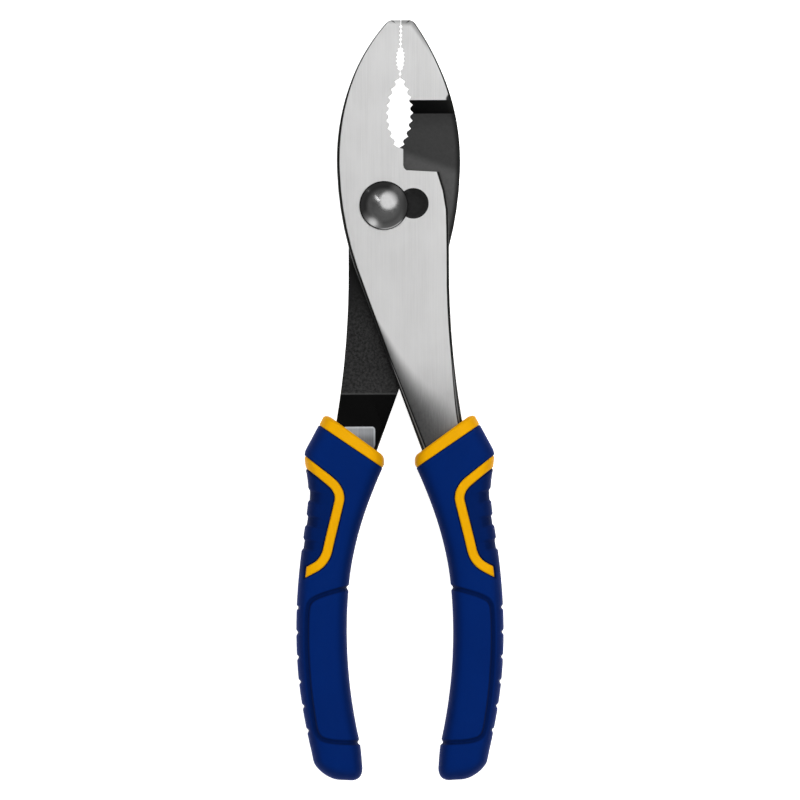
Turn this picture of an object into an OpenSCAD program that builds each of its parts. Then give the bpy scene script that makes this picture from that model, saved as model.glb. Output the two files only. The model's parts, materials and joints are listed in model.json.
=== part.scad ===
// Slip joint pliers, an assembly of nine pieces.
// Modelled with the slot centre at x = y = 0 and the lap plane of the two halves at z = 0,
// then moved so that the origin lies on the pivot axis at the table, with the jaws along +Y.
// Both halves come from one forging module: the second one is turned over about the long centre line.

/* [Overall] */
// Tip of the jaws to the end of the handles
overall_l = 203.2; // [195:0.1:215]
// Tip of the jaws to the middle of the slot
tip_l = 49.3; // [46:0.1:54]
// Thickness of each half where the two lap
half_t = 4.9; // [4.4:0.1:5.2]
// Gap between the two lap faces
lap_gap = 0.1; // [0.06:0.01:0.2]
// Rounding of the outer edges of the forgings
edge_r = 0.9; // [0.4:0.1:1.3]
// Rounding of those edges at the tip of the jaws
tip_edge_r = 0.4; // [0.3:0.05:0.9]

/* [Jaws] */
// Width over both jaws at the widest place
jaw_w = 33; // [30:0.1:36]
// Tip of the jaws to their widest place
widest_l = 37.4; // [34:0.1:40]
// Width over both jaws at the tip, before its corners are rounded
tip_w = 6.5; // [5:0.1:9]
// Rounding of the two outer corners of the tip
tip_r = 0.9; // [0.4:0.1:1.4]
// Radius of the outer edge below the widest place
shoulder_r = 90; // [70:1:120]
// Tip of the jaws to the step where the lap pocket starts
step_l = 21.4; // [19:0.1:23]
// Length of the sloped step
step_run = 3.6; // [1.5:0.1:4]
// Gap between the closed jaws
bite_gap = 0.1; // [0.06:0.01:0.3]
// Lean of the bite to the right, in degrees
bite_lean = 1.1; // [0:0.1:1.6]
// How far the tip leans to the right
tip_lean = 0.7; // [0:0.05:1]

/* [Teeth] */
// Plain land at the tip, before the first fine tooth
tip_land = 1.1; // [0.6:0.1:2]
// Number of fine gullets at the tip
fine_n = 5; // [3:1:6]
// Pitch of the fine gullets
fine_pitch = 1.15; // [0.9:0.05:1.25]
// Depth of the fine gullets in each jaw
fine_d = 0.4; // [0.2:0.05:0.6]
// Tip of the jaws to the small oval
small_at = 7.1; // [6.9:0.1:8]
// Length of the small oval
small_l = 6.4; // [5:0.1:7]
// Depth of the small oval in each jaw
small_d = 0.75; // [0.4:0.05:1.2]
// Number of teeth in the small oval
small_n = 6; // [3:1:7]
// Depth of the teeth in the small oval
small_tooth_d = 0.5; // [0.3:0.05:0.6]
// Tip of the jaws to the pipe grip, which is the big oval
pipe_at = 15.2; // [14.6:0.1:16]
// Length of the pipe grip
pipe_l = 19.1; // [17:0.1:20]
// Depth of the pipe grip in each jaw, to the crests of its teeth
pipe_d = 2.85; // [2:0.05:4]
// Number of teeth in the pipe grip of each jaw
pipe_n = 9; // [6:1:11]
// Depth of the teeth in the pipe grip
tooth_d = 0.8; // [0.4:0.05:1]

/* [Nose] */
// How far the inner edge of the lap goes past the centre line, which makes the wire cutter
shear_w = 1.3; // [0.8:0.05:1.6]
// Height of the nose above the middle of the slot
nose_v = 8.9; // [8:0.1:10]
// Distance of the nose corner from the centre line
nose_w = 10.8; // [9.5:0.05:11.5]
// Fillet in the corner above the nose
nose_r = 1.4; // [0.5:0.1:1.5]

/* [Pivot] */
// Distance between the two holes of the slot, which is the slip travel
slot_pitch = 7.9; // [7.4:0.05:8.1]
// Tilt of the slot
slot_tilt = 3.9; // [0:0.1:8]
// Diameter of the bolt's shank
bolt_d = 8; // [7.4:0.05:8.4]
// Width of the bolt's shank across its two flats
bolt_flat = 5.4; // [4.8:0.05:6]
// Running clearance of the bolt in the slot, all round
slot_fit = 0.1; // [0.04:0.01:0.1]
// Clearance of the bolt in its keyed hole, all round
key_fit = 0.05; // [0.02:0.01:0.1]
// End play under the bolt's head, the washer and the nut
play = 0.05; // [0.02:0.01:0.1]
// Diameter of the bolt's head
head_d = 13.1; // [12.4:0.1:14]
// Height of the bolt's head
head_h = 2.8; // [2:0.1:3]
// Straight rim at the foot of the bolt's head
head_rim = 0.5; // [0.3:0.05:0.8]
// Diameter of the bolt's threaded tail
thread_d = 6; // [5:0.1:6.5]
// Diameter of the washer
washer_d = 12.6; // [11.5:0.1:13.2]
// Thickness of the washer
washer_t = 0.8; // [0.5:0.1:1]
// Diameter of the spot face for the washer
spot_d = 14; // [13.6:0.1:15]
// Depth of the spot face
spot_t = 0.8; // [0.4:0.1:1.2]
// Width of the nut across its flats
nut_af = 11; // [10:0.1:12]
// Height of the nut
nut_t = 2.95; // [2.4:0.05:3.4]
// How far the end of the bolt stays inside the nut
tail_in = 0; // [0:0.1:0.8]

/* [Shanks] */
// Width over both shanks at the waist
waist_w = 26.9; // [25:0.1:28]
// Middle of the slot to the start of the waist
waist_top = 4.7; // [3:0.1:8]
// Middle of the slot to the end of the waist
waist_end = 17.5; // [14:0.1:20]
// Outer edge of the shank at the collar, from the centre line
shank_out = 16.85; // [16:0.05:17.6]
// Slope of the inner edge of the shanks, in degrees from the long axis
edge_slope = 20; // [19:0.1:21]
// Thickness of the shank where it enters the grip
shank_t = 8.4; // [7.6:0.1:9]
// Middle of the slot to the ramp at the end of the lap pocket
ramp_at = 50.7; // [50:0.1:52]
// Length of that ramp
ramp_run = 8.5; // [7:0.1:10]
// Rounding of the shank on the inside, at the grip
shank_r = 1.8; // [1:0.1:2.4]
// Side clearance between the halves in the slipped position
slip_gap = 0.3; // [0.2:0.05:0.5]

/* [Handles] */
// Distance of the collar's middle from the centre line
collar_x = 10.9; // [10.4:0.1:12]
// Distance between the middle lines of the two handles at the bow
spread = 42.2; // [41:0.1:45]
// Middle of the slot to the widest place of the bow
bow_at = 114.3; // [110:0.1:118]
// Width of the tang in the grip
tang_w = 8; // [7:0.1:9]
// Thickness of the tang in the grip
tang_t = 6.4; // [5.6:0.1:7.4]
// End of the tang to the end of the grip
tang_end = 8; // [7:0.1:12]

/* [Grips] */
// Middle of the slot to the middle of the collar's top
collar_at = 62.3; // [61.5:0.1:64]
// Length of the collar
collar_l = 3.2; // [2.4:0.1:4]
// Tilt of the collar against the handle
collar_tilt = 14; // [10:0.5:16]
// Radius of the collar's outer corner
collar_round = 1.4; // [0.5:0.1:2]
// Tilt of the lower end of the grip
end_tilt = 20; // [12:0.5:24]
// Width of the grip
grip_w = 13.7; // [13:0.1:15]
// Thickness of the grip
grip_t = 16; // [15:0.1:17]
// Squareness of the grip's section, 2 is an ellipse
grip_n = 3; // [2.6:0.1:4]
// How far the finger guard stands out
guard_h = 5.7; // [4:0.1:6]
// Collar's top to the crest of the guard
guard_at = 9.5; // [9:0.1:10]
// Distance from the crest at which half of the guard is left
guard_fall = 5.5; // [5:0.1:6]
// How far the inner side flares at the collar
flare_h = 2.6; // [1.6:0.1:2.8]
// Rounding of the grip's end on the outer side
end_out_r = 5.6; // [4:0.1:6]
// Rounding of the grip's end on the inner side
end_in_r = 4; // [3:0.1:5.5]
// Wall of the core round the tang
core_wall = 1.2; // [0.8:0.1:1.4]
// Clearance between tang, core and sleeve
grip_fit = 0.05; // [0.03:0.01:0.12]
// Width of the stripe
stripe_w = 2.4; // [1.6:0.1:3]
// Depth of the panel groove
groove_d = 0.5; // [0.3:0.05:0.8]
// Width of the panel groove
groove_w = 1.4; // [0.7:0.1:1.8]
// Number of rib recesses beside the stripe
rib_n = 3; // [2:1:3]
// Pitch of the rib recesses
rib_pitch = 6.1; // [5.6:0.1:6.4]
// Collar's top to the first rib recess
rib_at = 18.6; // [17:0.1:20]
// Width of the rib recesses
rib_w = 2.6; // [2:0.1:3]
// Length of the panel between the corners of its groove
panel_l = 33.7; // [30:0.1:36]
// End of the grip to the panel's lower corner
panel_end = 13.4; // [11:0.1:16]
// Number of notches beside the panel
notch_n = 6; // [3:1:6]
// Width of those notches
notch_w = 0.8; // [0.6:0.1:1.4]
// Depth of the notches and of the rib recesses
notch_d = 0.4; // [0.3:0.05:0.6]

/* [Hidden] */
$fn = 96;
lap = lap_gap / 2;
face_z = lap + half_t;
seat_z = face_z - spot_t;
nut_z = seat_z + play + washer_t + play + nut_t;
mid_z = max(grip_t / 2, nut_z);
end_v = tip_l - overall_l;
slot_dir = [cos(slot_tilt), sin(slot_tilt)];
bolt_at = -slot_dir * slot_pitch / 2;

// Jaw outline: one arc from the tip to the widest place, then the shoulder arc, then a straight edge
widest_v = tip_l - widest_l;
jaw_rise = (jaw_w - tip_w) / 2;
jaw_r = (widest_l * widest_l + jaw_rise * jaw_rise) / (2 * jaw_rise);
edge_v = widest_v - shoulder_r * sin(edge_slope);
edge_u = shoulder_r * (1 - cos(edge_slope)) - jaw_w / 2;

// Outer edge of a shank: nose arc, straight waist, then the flare
nose_drop = waist_w / 2 - nose_w;
nose_h = nose_v + waist_top;
nose_arc_r = (nose_h * nose_h + nose_drop * nose_drop) / (2 * nose_drop);

// Middle line of the handle
bow_v = -bow_at;
bow_x = spread / 2;
bow_h = -collar_at - bow_v;
bow_d = bow_x - collar_x;
bow_r = (bow_h * bow_h + bow_d * bow_d) / (2 * bow_d);
bow_top = asin(bow_h / bow_r);
bow_end = asin((end_v - bow_v) / bow_r);
grip_l = (bow_top - bow_end) * bow_r * PI / 180;
tang_l = grip_l - tang_end;
pocket_out = 60;
// Lengths over which the tilts at the collar and at the end, the inner flare and the tang's shape fade
tilt_l = 24;
end_l = 14;
flare_l = 38;
blend_l = 20;
// The grip is a little narrower and thinner at its ends
cut_l = 9.5;
in_cut_d = 0.9;
in_cut_l = 8;
out_cut_d = 0.3;
out_cut_l = 6;
waist_at = 62;
waist_l = 20;
thin_d = 0.6;
thin_l = 6;
end_z_r = 5.5;

function smooth(t) = let (c = min(1, max(0, t))) c * c * (3 - 2 * c);
// Sagitta of an arc of radius r at the distance d from its top
function sag(r, d) = r - sqrt(r * r - d * d);
function left_u(v) = v > widest_v ? sag(jaw_r, v - widest_v) - jaw_w / 2
    : v > edge_v ? sag(shoulder_r, v - widest_v) - jaw_w / 2
    : edge_u + (edge_v - v) * tan(edge_slope);
// The flare is an arc from the end of the waist to the shank's outer edge at the collar
collar_rise = 4.3;
collar_drop = 3.5;
spread_l = collar_at - collar_rise - waist_end;
spread_h = shank_out - waist_w / 2;
flare_r = (spread_l * spread_l + spread_h * spread_h) / (2 * spread_h);
function right_u(v) = v > -waist_top ? waist_w / 2 - sag(nose_arc_r, v + waist_top)
    : v > -waist_end ? waist_w / 2
    : waist_w / 2 + sag(flare_r, v + waist_end);

// A point of the grip: s along the handle from the collar, w across it, positive outwards
function bow_a(s) = bow_top - s / bow_r * 180 / PI;
function mid(s) = [bow_x - bow_r + bow_r * cos(bow_a(s)), bow_v + bow_r * sin(bow_a(s))];
function across_a(s) = bow_a(s)
    + collar_tilt * (1 - smooth(s / tilt_l))
    + end_tilt * smooth((s - grip_l) / end_l + 1);
function across(s) = [cos(across_a(s)), sin(across_a(s))];
function at(s, w) = mid(s) + w * across(s);
function round_end(s, r) = s < grip_l - r ? 0 : r - sqrt(max(0, r * r - pow(s - grip_l + r, 2)));

// Half widths of the grip. The collar's inner side leaves room for the slip
slip_room = slot_pitch / 2 + slip_gap / 2;
function in_flare(s) = flare_h * pow(1 - min(1, s / flare_l), 1.5);
function in_limit(s) = (mid(s)[0] - slip_room) / cos(across_a(s));
function in_taper(s) = in_cut_d * smooth((s - grip_l + cut_l) / in_cut_l);
function in_w(s) = min(grip_w / 2 + in_flare(s), in_limit(s)) - in_taper(s) - round_end(s, end_in_r);
function guard(s) = s < guard_at ? 0.8 + 0.2 * pow(s / guard_at, 1.4)
    : 1 / (1 + pow((s - guard_at) / guard_fall, 2.2));
function out_taper(s) = out_cut_d
    * (1 + smooth((s - waist_at) / waist_l) - smooth((s - grip_l + cut_l) / out_cut_l));
function collar_corner(s) = sag(collar_round, max(0, collar_round - s));
function out_w(s) = grip_w / 2 - out_taper(s) + guard_h * guard(s) - collar_corner(s)
    - round_end(s, end_out_r);
function half_z(s) = grip_t / 2 - thin_d * (1 - smooth(s / thin_l)) - round_end(s, end_z_r);

// The tang: the shank's own edges at the collar, blending into an even bar along the handle
collar_l_pt = let (v = -collar_at - collar_drop) [left_u(v), v];
collar_r_pt = let (v = -collar_at + collar_rise) [right_u(v), v];
function fade(s) = 1 - smooth(s / blend_l);
function tang_in(s) = at(s, -tang_w / 2) + (collar_l_pt - at(0, -tang_w / 2)) * fade(s);
function tang_out(s) = at(s, tang_w / 2) + (collar_r_pt - at(0, tang_w / 2)) * fade(s);
function tang_z(s) = tang_t / 2 + (shank_t - tang_t) / 2 * fade(s);

// Ring of 20 points: a section between two rails, with rounded corners
function ring(pl, pr, zb, zl, zr, rb, rl, rr) =
    let (w = norm(pr - pl), d = (pr - pl) / w)
    [for (k = [0:3]) for (i = [0:4])
        let (a = 180 + 90 * k + 22.5 * i,
             r = k < 2 ? rb : k == 2 ? rr : rl,
             c = k == 0 || k == 3 ? r : w - r,
             z = k < 2 ? zb + r : k == 2 ? zr - r : zl - r,
             p = pl + d * (c + r * cos(a)))
        [p[0], p[1], z + r * sin(a)]];
// Ring round the tang at s, grown by g on all sides
function tang_ring(s, g) =
    let (pl = tang_in(s), pr = tang_out(s), d = (pr - pl) / norm(pr - pl))
    let (z = tang_z(s) + g, r = shank_r + g)
    ring(pl - d * g, pr + d * g, -z, z, z, r, r, r);
// Tang, core and sleeve share these stations, so their walls stay parallel
core_steps = 9;
function tube_rings(g) = [for (i = [0:core_steps])
    tang_ring(collar_l + (tang_l - collar_l) * i / core_steps + (i == core_steps ? g : 0), g)];
// Ring of the grip's skin at s, grown by g
function power(x, e) = sign(x) * pow(abs(x), e);
function skin_ring(s, g) =
    let (a = in_w(s) + g, b = out_w(s) + g, z = half_z(s) + g)
    [for (j = [0:19])
        let (t = 180 + 18 * j)
        let (p = at(s, (b - a) / 2 + (a + b) / 2 * power(cos(t), 2 / grip_n)))
        [p[0], p[1], z * power(sin(t), 2 / grip_n)]];

// Solid through a list of rings
function side_faces(m, n, o, flip) = [for (i = [0:m - 2]) for (j = [0:n - 1])
    let (k = (j + 1) % n, a = o + i * n + j, b = o + i * n + k, c = b + n, d = a + n)
    each flip ? [[a, c, d], [a, b, c]] : [[a, d, c], [a, c, b]]];
function top_cap(n, o) = [for (j = [1:n - 2]) [o, o + j, o + j + 1]];
function end_cap(n, o) = [for (j = [1:n - 2]) [o, o + j + 1, o + j]];
module loft(rings) {
    n = len(rings[0]);
    m = len(rings);
    polyhedron(
        points = [for (r = rings) each r],
        faces = concat(side_faces(m, n, 0, false), top_cap(n, 0), end_cap(n, (m - 1) * n)),
        convexity = 8);
}
// Cup through a list of outer and a list of inner rings, open at the first ring of each
module cup(outer, inner) {
    n = len(outer[0]);
    m = len(outer);
    q = len(inner);
    o = m * n;
    rim = [for (j = [0:n - 1]) let (k = (j + 1) % n) each [[j, k, o + k], [j, o + k, o + j]]];
    polyhedron(
        points = concat([for (r = outer) each r], [for (r = inner) each r]),
        faces = concat(side_faces(m, n, 0, false), end_cap(n, o - n),
                       side_faces(q, n, o, true), top_cap(n, o + (q - 1) * n), rim),
        convexity = 8);
}

// Outline of one forging, from the tip down: jaw on the left, shank and tang on the right
tip_steps = 4;
jaw_steps = 24;
nose_steps = 3;
waist_steps = 10;
flare_steps = 14;
shank_v = -42;
nose_top = nose_v + 0.15;
neck_v = nose_v - 0.2;
sharp_r = 0.05;
jaw_top = tip_l - tip_r;
// Both jaws lean to the right, so the lean changes its sign with the hand of the half
lean_l = 15;
lean_v = tip_l - lean_l;
function bite_shift(v) = max(0, v - nose_v) * tan(bite_lean);
function tip_shift(v) = tip_lean * pow(max(0, (v - lean_v) / lean_l), 2);
function edge_at(v) = min(edge_r, tip_edge_r + (edge_r - tip_edge_r) * smooth((tip_l - v) / widest_l));
function jaw_ring(v, inset, hand) = ring([left_u(v) + inset + hand * tip_shift(v), v], [shear_w, v],
    -face_z, face_z, face_z, edge_at(v), edge_at(v), sharp_r);
function waist_ring(v) = ring([left_u(v), v], [right_u(v), v], -face_z, face_z, face_z,
    edge_r, edge_r, edge_r);
function nose_ring(a) =
    let (v = nose_top + nose_r * (1 - sin(a)))
    ring([left_u(v), v], [shear_w + nose_r * (1 - cos(a)), v], -face_z, face_z, face_z,
         edge_r, edge_r, sharp_r);
function shank_ring(t) =
    let (vl = shank_v + t * (collar_l_pt[1] - shank_v))
    let (vr = shank_v + t * (collar_r_pt[1] - shank_v))
    let (drop = face_z - shank_t / 2, rb = edge_r + t * (shank_r - edge_r))
    ring([left_u(vl), vl], [right_u(vr), vr], -face_z + drop * smooth(t * 1.4),
         face_z - drop * smooth(t), face_z - drop * smooth(t * 1.6 - 0.6), rb, rb, rb);
function forging_rings(hand) = concat(
    [for (i = [0:tip_steps])
        let (a = 90 * i / tip_steps)
        jaw_ring(tip_l - tip_r * (1 - cos(a)), tip_r * (1 - sin(a)), hand)],
    [for (i = [1:jaw_steps]) jaw_ring(jaw_top + (nose_top + nose_r - jaw_top) * i / jaw_steps, 0, hand)],
    [for (i = [1:nose_steps]) nose_ring(90 * i / nose_steps - (i == nose_steps ? 20 : 0))],
    [for (i = [0:waist_steps]) waist_ring(neck_v + (shank_v - neck_v) * i / waist_steps)],
    [for (i = [1:flare_steps]) shank_ring(i / flare_steps)],
    tube_rings(0));

// Tooth line of one jaw, as depths below the centre line
function arc_d(t, d, full) = d * (1 - pow(abs(2 * t - 1), full));
function gullet(v, p, d) = [[0, v + p * 0.45], [-d, v], [0, v - p * 0.45]];
function oval_pt(v, l, d, full, t, td) = [-arc_d(t, d, full) - td, v - l * t];
function oval(v, l, d, full, n, td) = [for (i = [0:n - 1])
    each [oval_pt(v, l, d, full, (i + 0.12) / n, 0),
          oval_pt(v, l, d, full, (i + 0.5) / n, td),
          oval_pt(v, l, d, full, (i + 0.88) / n, 0)]];
// The small oval is fuller at its ends than the pipe grip, which is a parabola
small_full = 3;
pipe_full = 2;
fine_v = tip_l - tip_land - fine_pitch / 2;
small_v = tip_l - small_at;
pipe_v = tip_l - pipe_at;
pipe_end = pipe_v - pipe_l;
tooth_line = concat(
    [[0, tip_l + 1]],
    [for (i = [0:fine_n - 1]) each gullet(fine_v - fine_pitch * i, fine_pitch, fine_d)],
    [[0, small_v]],
    oval(small_v, small_l, small_d, small_full, small_n, small_tooth_d),
    [[0, small_v - small_l]],
    gullet((small_v - small_l + pipe_v) / 2, fine_pitch, fine_d),
    [[0, pipe_v]],
    oval(pipe_v, pipe_l, pipe_d, pipe_full, pipe_n, tooth_d),
    [[shear_w, pipe_end - 0.2], [shear_w + 2, pipe_end - 1.6]]);

// Everything right of the tooth line is cut away
module mouth(hand) {
    leaning = [for (p = tooth_line) [p[0] + hand * bite_shift(p[1]), p[1]]];
    translate([-bite_gap / 2, 0, -face_z - 1])
        linear_extrude(2 * face_z + 2)
            polygon(concat(leaning, [[20, pipe_end - 1.6], [20, tip_l + 1]]));
}
// Room for the other half: flat lap face, sloped step at the jaw, ramp at the shank
module lap_pocket() {
    step_v = tip_l - step_l;
    depth = face_z + lap;
    ramp_d = shank_t / 2 + lap;
    over = 2;
    translate([-pocket_out, 0, 0])
        rotate([90, 0, 90])
            linear_extrude(2 * pocket_out)
                polygon([[step_v - step_run, lap], [step_v, lap - depth], [step_v, -face_z - over],
                         [-ramp_at - ramp_run * (1 + over / ramp_d), -shank_t / 2 - over],
                         [-ramp_at, lap]]);
}
// Corner of the shank that would meet the other shank in the slipped position
module slip_relief() {
    cross_v = edge_v + edge_u / tan(edge_slope);
    reach = slot_pitch + slip_gap;
    low_v = cross_v - reach / 2 / tan(edge_slope);
    translate([0, 0, -face_z - 1])
        linear_extrude(face_z + 1 + lap)
            polygon([[-1, cross_v + 1], [reach, cross_v + 1], [reach, cross_v],
                     [reach / 2, low_v], [reach / 2 - 2, low_v], [-2, cross_v]]);
}
module forging(hand) {
    difference() {
        loft(forging_rings(hand));
        mouth(hand);
        lap_pocket();
        slip_relief();
    }
}
// Round bar, d thick and h high, with two flats along the slot, f apart
module flatted(d, f, h) {
    intersection() {
        cylinder(d = d, h = h);
        rotate(slot_tilt)
            translate([-d, -f / 2, 0])
                cube([2 * d, f, h]);
    }
}
// Move from the modelling frame to the frame of the part
module placed() {
    translate([-bolt_at[0], -bolt_at[1], mid_z])
        children();
}
module on_bolt(z) {
    translate([bolt_at[0], bolt_at[1], z])
        children();
}
module turned() {
    rotate([0, 180, 0])
        children();
}

module slotted_half() {
    color([0.8, 0.81, 0.82])
        placed()
            difference() {
                forging(1);
                for (k = [-1, 1])
                    translate([slot_dir[0], slot_dir[1], 0] * k * slot_pitch / 2)
                        cylinder(d = bolt_d + 2 * slot_fit, h = face_z + 1);
                rotate(slot_tilt)
                    translate([-slot_pitch / 2, -bolt_flat / 2 - slot_fit, 0])
                        cube([slot_pitch, bolt_flat + 2 * slot_fit, face_z + 1]);
            }
}
module pinned_half() {
    color([0.25, 0.25, 0.26])
        placed()
            difference() {
                turned()
                    forging(-1);
                on_bolt(-face_z - 1)
                    flatted(bolt_d + 2 * key_fit, bolt_flat + 2 * key_fit, face_z + 2);
                on_bolt(-face_z - 1)
                    cylinder(d = spot_d, h = spot_t + 1);
            }
}
module pivot_bolt() {
    head_z = face_z + play;
    cap_h = head_h - head_rim;
    cap_r = (head_d * head_d / 4 + cap_h * cap_h) / (2 * cap_h);
    color([0.2, 0.2, 0.21])
        placed()
            on_bolt(0) {
                translate([0, 0, head_z])
                    cylinder(d = head_d, h = head_rim);
                intersection() {
                    translate([0, 0, head_z + head_h - cap_r])
                        sphere(r = cap_r);
                    translate([0, 0, head_z + head_rim / 2])
                        cylinder(d = head_d, h = head_h);
                }
                translate([0, 0, -seat_z])
                    flatted(bolt_d, bolt_flat, seat_z + head_z + head_rim / 2);
                translate([0, 0, tail_in - nut_z])
                    cylinder(d = thread_d, h = nut_z - tail_in - seat_z);
            }
}
module pivot_washer() {
    color([0.6, 0.61, 0.62])
        placed()
            on_bolt(-seat_z - play - washer_t)
                difference() {
                    cylinder(d = washer_d, h = washer_t);
                    translate([0, 0, -1])
                        cylinder(d = thread_d + 2 * slot_fit, h = washer_t + 2);
                }
}
module pivot_nut() {
    color([0.3, 0.3, 0.31])
        placed()
            on_bolt(-nut_z)
                difference() {
                    intersection() {
                        cylinder(d = nut_af / cos(30), h = nut_t, $fn = 6);
                        cylinder(d1 = nut_af, d2 = nut_af + 4 * nut_t, h = nut_t);
                    }
                    translate([0, 0, -1])
                        cylinder(d = thread_d + 2 * key_fit, h = nut_t + 2);
                }
}

// Stripe as a bent band in plan, and the panel groove in the same way
function normal2(a, b) = let (d = (b - a) / norm(b - a)) [-d[1], d[0]];
function mitre(p, i) =
    let (n0 = normal2(p[max(0, i - 1)], p[max(1, i)]))
    let (n1 = normal2(p[min(len(p) - 2, i)], p[min(len(p) - 1, i + 1)]))
    (n0 + n1) / (1 + n0 * n1);
module band(p, w) {
    m = len(p) - 1;
    polygon(concat([for (i = [0:m]) p[i] + mitre(p, i) * w / 2],
                   [for (i = [m:-1:0]) p[i] - mitre(p, i) * w / 2]));
}
// Both run in steps of path_l along the grip and in parts of its half width across it
grip_hw = grip_w / 2;
path_l = 1;
function along(s0, steps) = [for (q = steps) at(s0 + q[0] * path_l, q[1] * grip_hw)];
stripe_path = along(0, [[11.6, 1.97], [13.7, 0.44], [14.9, 0.13], [16.8, -0.06], [19, -0.07],
                        [29.5, -0.02], [32.4, 0], [34.4, 0.12], [36, 0.31], [37.7, 0.72]]);
// Where the stripe comes out of the guard's side it goes from face to face, l long in plan
wrap_l = 7.8;
function stripe_wrap(l) =
    let (d = stripe_path[1] - stripe_path[0])
    [stripe_path[0], stripe_path[0] + d * l / norm(d)];
panel_low = grip_l - panel_end;
panel_at = panel_low - panel_l;
groove_path = concat(
    along(panel_at, [[-6.3, -1.3], [-3.5, -0.13], [-1.9, 0.33], [-0.8, 0.49], [0.8, 0.56]]),
    along(panel_at, [for (i = [1:3]) [(panel_l / path_l - 2.5) * i / 4, 0.56 + 0.01 * i]]),
    along(panel_low, [[-2.5, 0.59], [-0.4, 0.57], [0.8, 0.5], [1.8, 0.36], [3.1, -0.12], [4.2, -1.3]]));
notch_at = panel_at + 0.7 * path_l;
notch_pitch = (panel_low - 1.4 * path_l - notch_at) / (notch_n - 1);
module both_faces(z0) {
    for (k = [0, 1])
        mirror([0, 0, k])
            translate([0, 0, z0])
                linear_extrude(grip_t)
                    children();
}
module through() {
    translate([0, 0, -grip_t])
        linear_extrude(2 * grip_t)
            children();
}
// The rings lie closer together beside the stripe and in the round end
skin_steps = 12;
close_l = 26;
cap_l = 7;
lip_r = 1;
stripe_z = (tang_t + core_wall) / 2 + 2 * grip_fit;
sleeve_at = collar_l + grip_fit;
function skin_rings(g) = concat(
    [for (i = [0:skin_steps]) skin_ring(sleeve_at + (close_l - sleeve_at) * i / skin_steps, g)],
    [for (i = [1:6]) skin_ring(close_l + (grip_l - cap_l - close_l) * i / 6, g)],
    [for (i = [1:6]) skin_ring(grip_l - cap_l * (1 - sin(15 * i)), g)]);
module grip_core() {
    lip = [for (c = [[0, -0.9], [0.35, -0.3], [1, 0]]) skin_ring(c[0] * lip_r, c[1] * lip_r)];
    collar = concat(lip, [skin_ring(collar_l, 0)]);
    tube = tube_rings(core_wall);
    bore = concat([tang_ring(0, grip_fit)], tube_rings(grip_fit));
    cup(concat(collar, tube), bore);
    intersection() {
        loft(skin_rings(0));
        union() {
            both_faces(stripe_z)
                band(stripe_path, stripe_w);
            through()
                band(stripe_wrap(wrap_l), stripe_w);
        }
    }
}
module grip_sleeve() {
    difference() {
        cup(skin_rings(0), tube_rings(core_wall + grip_fit));
        both_faces(stripe_z - grip_fit)
            band(stripe_path, stripe_w + 2 * grip_fit);
        through()
            band(stripe_wrap(wrap_l + grip_fit), stripe_w + 2 * grip_fit);
        difference() {
            both_faces(0)
                band(groove_path, groove_w);
            loft(skin_rings(-groove_d));
        }
        for (i = [0:rib_n - 1])
            notch(rib_at + rib_pitch * i, rib_w);
        for (i = [0:notch_n - 1])
            notch(notch_at + notch_pitch * i, notch_w);
    }
}
// Round-bottomed notch across the outer side
module notch(s, w) {
    r = (w * w / 4 + notch_d * notch_d) / (2 * notch_d);
    p = at(s, out_w(s) + r - notch_d);
    translate([p[0], p[1], -grip_t])
        cylinder(r = r, h = 2 * grip_t);
}
module slotted_grip_core() {
    color([0.95, 0.7, 0.05])
        placed()
            grip_core();
}
module pinned_grip_core() {
    color([0.95, 0.7, 0.05])
        placed()
            turned()
                grip_core();
}
module slotted_grip_sleeve() {
    color([0.02, 0.15, 0.42])
        placed()
            grip_sleeve();
}
module pinned_grip_sleeve() {
    color([0.02, 0.15, 0.42])
        placed()
            turned()
                grip_sleeve();
}

slotted_half();
pinned_half();
pivot_bolt();
pivot_washer();
pivot_nut();
slotted_grip_core();
slotted_grip_sleeve();
pinned_grip_core();
pinned_grip_sleeve();
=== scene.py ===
"""Looks of the slip joint pliers: fine grips, steel finishes, studio light and the camera."""
import json
import math

import bpy
import numpy as np
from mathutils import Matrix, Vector


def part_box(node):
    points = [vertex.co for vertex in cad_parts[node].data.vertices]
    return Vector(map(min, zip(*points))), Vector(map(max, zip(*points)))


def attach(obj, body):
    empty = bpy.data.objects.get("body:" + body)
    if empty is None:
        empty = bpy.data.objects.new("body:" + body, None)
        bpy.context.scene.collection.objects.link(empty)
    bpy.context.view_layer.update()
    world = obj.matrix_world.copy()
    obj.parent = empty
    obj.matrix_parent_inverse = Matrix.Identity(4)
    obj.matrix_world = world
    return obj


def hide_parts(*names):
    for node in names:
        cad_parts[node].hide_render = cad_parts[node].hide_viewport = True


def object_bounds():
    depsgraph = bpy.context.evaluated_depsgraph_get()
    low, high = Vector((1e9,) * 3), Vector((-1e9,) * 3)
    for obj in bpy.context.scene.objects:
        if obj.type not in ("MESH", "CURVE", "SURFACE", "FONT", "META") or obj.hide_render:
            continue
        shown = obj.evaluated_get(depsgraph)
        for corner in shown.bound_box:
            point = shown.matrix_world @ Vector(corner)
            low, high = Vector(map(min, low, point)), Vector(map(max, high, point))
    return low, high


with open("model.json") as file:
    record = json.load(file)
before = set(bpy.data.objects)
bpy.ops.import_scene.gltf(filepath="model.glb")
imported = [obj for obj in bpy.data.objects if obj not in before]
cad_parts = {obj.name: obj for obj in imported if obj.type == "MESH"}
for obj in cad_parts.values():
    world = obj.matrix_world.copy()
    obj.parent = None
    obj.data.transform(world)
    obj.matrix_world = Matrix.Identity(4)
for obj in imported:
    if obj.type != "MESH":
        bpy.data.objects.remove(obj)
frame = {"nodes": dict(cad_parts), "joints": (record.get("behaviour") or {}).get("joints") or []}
cad_low, cad_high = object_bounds()

MM = 0.001

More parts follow.
